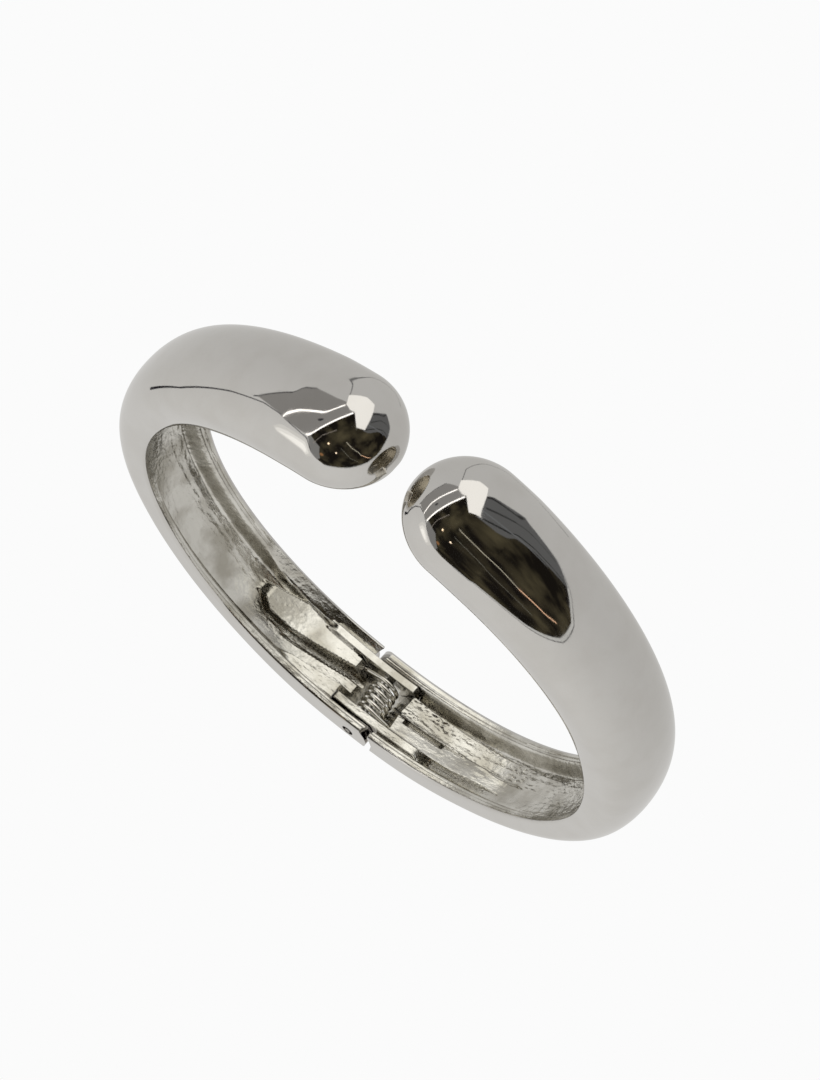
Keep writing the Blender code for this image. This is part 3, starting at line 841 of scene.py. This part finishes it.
def arc_line(name, directions, widths, material):
    """Thin line on the dome, through directions from its middle, with a width at each."""
    places = [Vector(direction).normalized() * DOME_RADIUS for direction in directions]
    verts = []
    for k, place in enumerate(places):
        ahead = (places[min(k + 1, len(places) - 1)] - places[max(k - 1, 0)]).normalized()
        side = ahead.cross(place).normalized() * widths[k] / 2
        verts += [place + side, place - side]
    faces = [(k, k + 1, k + 3, k + 2) for k in range(0, len(verts) - 2, 2)]
    mirrored_mesh(name, [RING_CENTRE + (Vector(DOME_MIDDLE) + vert) * MM for vert in verts], faces, material)


def room_material():
    """Darkness with faint warm patches."""
    room = light_material("dark_room", (0.034, 0.031, 0.024), 1)
    tree = room.node_tree
    light = tree.nodes["Emission"]
    place = tree.nodes.new("ShaderNodeTexCoord")
    patches = tree.nodes.new("ShaderNodeTexNoise")
    patches.inputs["Scale"].default_value = 9
    patches.inputs["Detail"].default_value = 6
    tones = tree.nodes.new("ShaderNodeValToRGB")
    tones.color_ramp.elements[0].position = 0.42
    tones.color_ramp.elements[0].color = (0.012, 0.010, 0.008, 1)
    tones.color_ramp.elements[1].position = 0.72
    tones.color_ramp.elements[1].color = (0.10, 0.085, 0.05, 1)
    tree.links.new(place.outputs["Object"], patches.inputs["Vector"])
    tree.links.new(patches.outputs["Fac"], tones.inputs["Fac"])
    tree.links.new(tones.outputs["Color"], light.inputs["Color"])
    return room


def make_cards():
    """The dark room behind the camera with its lights and lens, the tent around it, and the soft box beside it."""
    card("room", ROOM_OUTLINE, 0, room_material())
    frame_edge = ROOM_OUTLINE[2:9]
    outside = [(x * FRAME_LINE_SPREAD, y * FRAME_LINE_SPREAD) for x, y in frame_edge]
    card("room_frame", ribbon(frame_edge, FRAME_WIDTH), 1, light_material("tent_hem", (0.9, 0.9, 0.88), 0.8))
    card("room_frame_line", ribbon(outside, FRAME_LINE_WIDTH), 2,
         light_material("tent_seam", (0.05, 0.05, 0.05), 1))
    card("ceiling", CEILING_OUTLINE, 0, light_material("ceiling", (0.33, 0.32, 0.31), 1))
    for k, (points, width, strength) in enumerate(LAMP_LINES):
        lamps = light_material("lamp_row_%d" % k, (1, 0.97, 0.94), strength)
        card("lamp_row_%d" % k, ribbon(points, width), 3, lamps)
    dark = light_material("dark_line", (0.03, 0.03, 0.035), 1)
    card("ceiling_edge", ribbon(CEILING_EDGE, CEILING_EDGE_WIDTH), 3, dark)
    for k, (points, width, colour, strength) in enumerate(ROOM_LINES):
        card("room_line_%d" % k, ribbon(points, width), 4, light_material("room_line_%d" % k, colour, strength))
    for k, (middle, size, colour, strength) in enumerate(LAMP_SPOTS):
        card("spot_%d" % k, ellipse(middle, size, size), 5, light_material("spot_%d" % k, colour, strength))
    card("vent", ellipse(*VENT), 5, dark)
    card("silver", SILVER_OUTLINE, 2, light_material("silver", (1.0, 0.99, 0.97), SILVER_LEVEL))
    card("lens", LENS_OUTLINE, 2, light_material("lens", (0.98, 0.99, 1.0), LENS_LEVEL))
    for k, (points, width, level) in enumerate(LENS_LINES):
        card("lens_line_%d" % k, ribbon(points, width), 3, light_material("lens_line_%d" % k, (1, 1, 1), level))
    card("key", KEY_OUTLINE, 6, light_material("key_light", (1.0, 0.98, 0.94), KEY_LEVEL))
    for reflector in LOW_CARDS:
        low_card(*reflector)
    arc_line("tent_seam", TENT_SEAM, TENT_SEAM_WIDTHS, dark)
    grey = light_material("grey_line", (0.16, 0.16, 0.16), 1)
    arc_line("lens_seam", LENS_SEAM, [LENS_SEAM_WIDTH] * len(LENS_SEAM), grey)
    left, low = SOFT_BOX_MIDDLE
    for k, (spread, level) in enumerate(zip(SOFT_BOX_SPREADS, SOFT_BOX_LEVELS)):
        outline = [(left + (x - left) * spread, low + (y - low) * spread) for x, y in SOFT_BOX_OUTLINE]
        card("soft_box_%d" % k, outline, k, light_material("soft_box_%d" % k, (1.0, 0.985, 0.95), level))


def camera_switch(tree, seen, reflected):
    """Mix of two shaders: the first for what the camera sees, the second for light and reflections."""
    path = tree.nodes.new("ShaderNodeLightPath")
    mix = tree.nodes.new("ShaderNodeMixShader")
    tree.links.new(path.outputs["Is Camera Ray"], mix.inputs[0])
    tree.links.new(reflected, mix.inputs[1])
    tree.links.new(seen, mix.inputs[2])
    return mix.outputs[0]


def make_stage():
    """White paper under the bracelet, soft white light from everywhere, and the cards."""
    bpy.ops.mesh.primitive_circle_add(vertices=FLOOR_SIDES, radius=FLOOR_RADIUS, fill_type="NGON")
    floor = bpy.context.object
    floor.name = "floor"
    paper = light_material("floor_paper", (1, 1, 1), PAPER_WHITE)
    tree = paper.node_tree
    low = tree.nodes.new("ShaderNodeEmission")
    low.inputs["Color"].default_value = (1.0, 0.985, 0.96, 1)
    low.inputs["Strength"].default_value = PAPER_LIGHT
    out = tree.nodes["Material Output"]
    tree.links.new(camera_switch(tree, tree.nodes["Emission"].outputs[0], low.outputs[0]), out.inputs[0])
    floor.data.materials.append(paper)
    floor.visible_glossy = False
    world = bpy.data.worlds.new("studio")
    bpy.context.scene.world = world
    world.use_nodes = True
    tree = world.node_tree
    seen = tree.nodes["Background"]
    seen.inputs["Color"].default_value = (1, 1, 1, 1)
    seen.inputs["Strength"].default_value = PAPER_WHITE
    soft = tree.nodes.new("ShaderNodeBackground")
    soft.inputs["Color"].default_value = (1.0, 0.99, 0.97, 1)
    place = tree.nodes.new("ShaderNodeTexCoord")
    axes = tree.nodes.new("ShaderNodeSeparateXYZ")
    level = tree.nodes.new("ShaderNodeMapRange")
    level.inputs["From Min"].default_value = -0.5
    level.inputs["From Max"].default_value = 0.8
    level.inputs["To Min"].default_value = SKY_LOW
    level.inputs["To Max"].default_value = SKY_HIGH
    tree.links.new(place.outputs["Generated"], axes.inputs[0])
    tree.links.new(axes.outputs["Z"], level.inputs["Value"])
    tree.links.new(level.outputs[0], soft.inputs["Strength"])
    tree.links.new(camera_switch(tree, seen.outputs[0], soft.outputs[0]), tree.nodes["World Output"].inputs[0])
    bpy.context.scene.view_settings.view_transform = "Standard"
    make_cards()


EVEN = (1, 1, 1)
nickel = plated("nickel_plate", (0.61, 0.597, 0.575), (0.585, 0.57, 0.545), (0.035, 0.07), (
    (120, 2, 0.000006, EVEN), (2500, 3, 0.0000004, (1, 1, 0.1)),), 0.00012)
cast = plated("cast_plate", (0.66, 0.645, 0.60), (0.42, 0.40, 0.35), (0.10, 0.26), (
    (1300, 6, 0.00005, (1, 1, 1.6)), (4200, 3, 0.000010, EVEN),), 0.00010)
bored = plated("bored_plate", (0.80, 0.77, 0.70), (0.52, 0.48, 0.42), (0.16, 0.30), (
    (1600, 2, 0.000014, (1, 1, 0.2)),), 0.00010)
steel = plated("pin_steel", (0.60, 0.59, 0.575), (0.50, 0.49, 0.47), (0.08, 0.16), (
    (3000, 3, 0.000002, EVEN),), 0.00006)
wire = plated("spring_wire", (0.80, 0.78, 0.72), (0.66, 0.64, 0.58), (0.06, 0.13), (
    (3500, 4, 0.000002, EVEN),), 0.00001)
make_camera()
make_stage()

# Middle of the mouth, outward direction, half width, and the side of the notch, in each arm's own frame.
RIGHT_SOCKET = ((1.81, -30.63, 1.09), (-0.80, -0.59, 0.14), 0.82, 1)
LEFT_SOCKET = ((2.38, -31.14, -1.56), (-0.67, -0.71, -0.20), 0.92, -1)
right = make_arm("right_arm_casting", "right_half", (1.4, 0.9), right_floors, 3.0, (0.3, 0.3), RIGHT_SOCKET, False)
left = make_arm("left_arm_casting", "left_half", (0.9, 1.2), left_floors, 61.0, (0.2, 2.0), LEFT_SOCKET, True)
for arm in (right, left):
    arm.data.materials[POLISHED] = nickel
    arm.data.materials[CAST] = cast
    arm.data.materials[BORED] = bored
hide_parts("right_arm")
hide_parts("left_arm")

pin = make_pin()
pin.data.materials.append(steel)
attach(pin, "left_half")
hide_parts("hinge_pin")

spring = make_spring()
spring.data.materials.append(wire)
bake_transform(spring)
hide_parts("hinge_spring")
